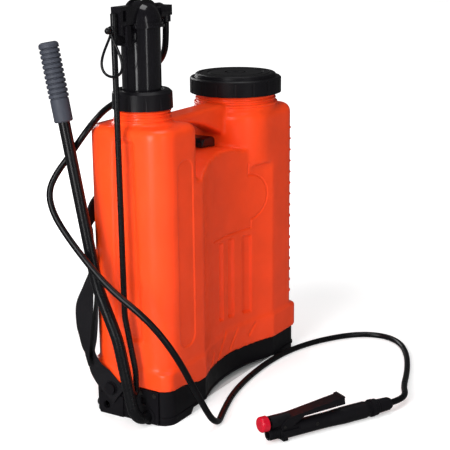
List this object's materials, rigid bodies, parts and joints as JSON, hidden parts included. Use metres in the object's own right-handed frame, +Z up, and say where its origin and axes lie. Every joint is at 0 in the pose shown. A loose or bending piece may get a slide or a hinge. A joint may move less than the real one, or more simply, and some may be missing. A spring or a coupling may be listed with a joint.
{
  "type": "backpack sprayer",
  "caption": "Knapsack sprayer: upright tank on a base, side pump lever and link rod, plunger pump with air chamber, hose and spray handle.",
  "frame": {"origin": "centre of the tank's plan, on the ground under the base", "axes": "+Z up, -Y towards the front face, +Y towards the wearer, -X towards the pump lever"},
  "size_m": [0.5887, 0.4661, 0.643],
  "materials": {
    "orange_pe": "satin orange blow-moulded polyethylene",
    "black_plastic": "semi-gloss black moulded polypropylene",
    "painted_steel": "semi-gloss black powder-coated steel tube",
    "zinc_steel": "zinc-plated steel",
    "grip_rubber": "matte dark blue-grey soft grip",
    "hose_pvc": "satin black reinforced PVC hose",
    "seal_rubber": "matte black nitrile rubber",
    "red_plastic": "glossy red moulded plastic",
    "white_plastic": "natural white moulded polypropylene",
    "webbing": "matte black woven polypropylene"
  },
  "bodies": {
    "tank": {"anchor_screws": "zinc_steel", "base_screws": "zinc_steel", "base_skirt": "black_plastic", "bearing_plate_screws": "zinc_steel", "collar_gasket": "seal_rubber", "filler_strainer": "white_plastic", "handle_body": "black_plastic", "handle_filter": "white_plastic", "handle_screw": "zinc_steel", "hose": "hose_pvc", "hose_nut": "black_plastic", "hose_tail": "black_plastic", "inlet_screen": "white_plastic", "inlet_valve_seat": "white_plastic", "lever_bearing_plate": "black_plastic", "lever_bush_inner": "white_plastic", "lever_bush_outer": "white_plastic", "outlet_socket": "black_plastic", "pump_collar": "black_plastic", "pump_cylinder": "white_plastic", "shoulder_strap_left": "webbing", "shoulder_strap_right": "webbing", "strap_anchor": "black_plastic", "strap_bolts": "black_plastic", "strap_buckle_left": "black_plastic", "strap_buckle_right": "black_plastic", "strap_tail_left": "webbing", "strap_tail_right": "webbing", "tank_shell": "orange_pe", "trigger_pin": "zinc_steel", "trigger_spring": "zinc_steel", "valve_body": "black_plastic"},
    "pump_lever": {"lever_tube": "painted_steel", "lever_grip": "grip_rubber", "shaft_cotter": "zinc_steel"},
    "pump_plunger": {"air_chamber": "black_plastic", "piston": "white_plastic", "piston_cup_seal": "seal_rubber", "chamber_head": "black_plastic", "riser_tube": "white_plastic", "rod_clip": "black_plastic", "link_pin": "painted_steel", "elbow_nut": "black_plastic", "hose_elbow": "black_plastic"},
    "link_rod": {"link_rod": "painted_steel"},
    "retaining_loop": {"retaining_loop": "painted_steel"},
    "filler_cap": {"filler_cap": "black_plastic", "cap_vent_valve": "black_plastic", "cap_gasket": "seal_rubber"},
    "inlet_ball": {"inlet_valve_ball": "zinc_steel"},
    "delivery_ball": {"delivery_valve_ball": "zinc_steel"},
    "trigger": {"trigger": "black_plastic"},
    "valve_stem": {"valve_plunger": "zinc_steel", "plunger_seal": "seal_rubber", "plunger_cap": "red_plastic"}
  },
  "joints": [
    {"name": "lever_swing", "type": "hinge", "parent": "tank", "child": "pump_lever", "pos_m": [-0.2, -0.036, 0.014], "axis": [-1, 0, 0], "range_deg": [0, 75]},
    {"name": "plunger_slide", "type": "slide", "parent": "tank", "child": "pump_plunger", "axis": [0, 0, -1], "range_m": [0, 0.04], "deforming": ["hose"]},
    {"name": "rod_tilt", "type": "hinge", "parent": "pump_plunger", "child": "link_rod", "pos_m": [-0.222, -0.005, 0.604], "axis": [1, 0, 0], "range_deg": [0, 3.34]},
    {"name": "loop_swing", "type": "hinge", "parent": "pump_plunger", "child": "retaining_loop", "pos_m": [-0.2285, -0.005, 0.604], "axis": [1, 0, 0], "range_deg": [-20, 20]},
    {"name": "cap_lift", "type": "slide", "parent": "tank", "child": "filler_cap", "axis": [0, 0, 1], "range_m": [0, 0.06]},
    {"name": "inlet_ball_lift", "type": "slide", "parent": "tank", "child": "inlet_ball", "axis": [0, 0, 1], "range_m": [0, 0.002]},
    {"name": "delivery_ball_lift", "type": "slide", "parent": "pump_plunger", "child": "delivery_ball", "axis": [0, 0, 1], "range_m": [0, 0.002]},
    {"name": "trigger_squeeze", "type": "hinge", "parent": "tank", "child": "trigger", "pos_m": [-0.15337, -0.24016, 0.0252], "axis": [0.4818, 0.8763, 0], "range_deg": [0, 4.5], "stiffness_Nm_per_rad": 6, "springref_deg": -5.73, "deforming": ["trigger_spring"]},
    {"name": "stem_slide", "type": "slide", "parent": "tank", "child": "valve_stem", "axis": [0.8763, -0.4818, 0], "range_m": [0, 0.0015]}
  ],
  "couplings": [
    {"joint": "plunger_slide", "follows": "lever_swing", "m_per_rad": 0.030558},
    {"joint": "rod_tilt", "follows": "lever_swing", "ratio": 0.044533},
    {"joint": "stem_slide", "follows": "trigger_squeeze", "m_per_rad": 0.019099}
  ]
}
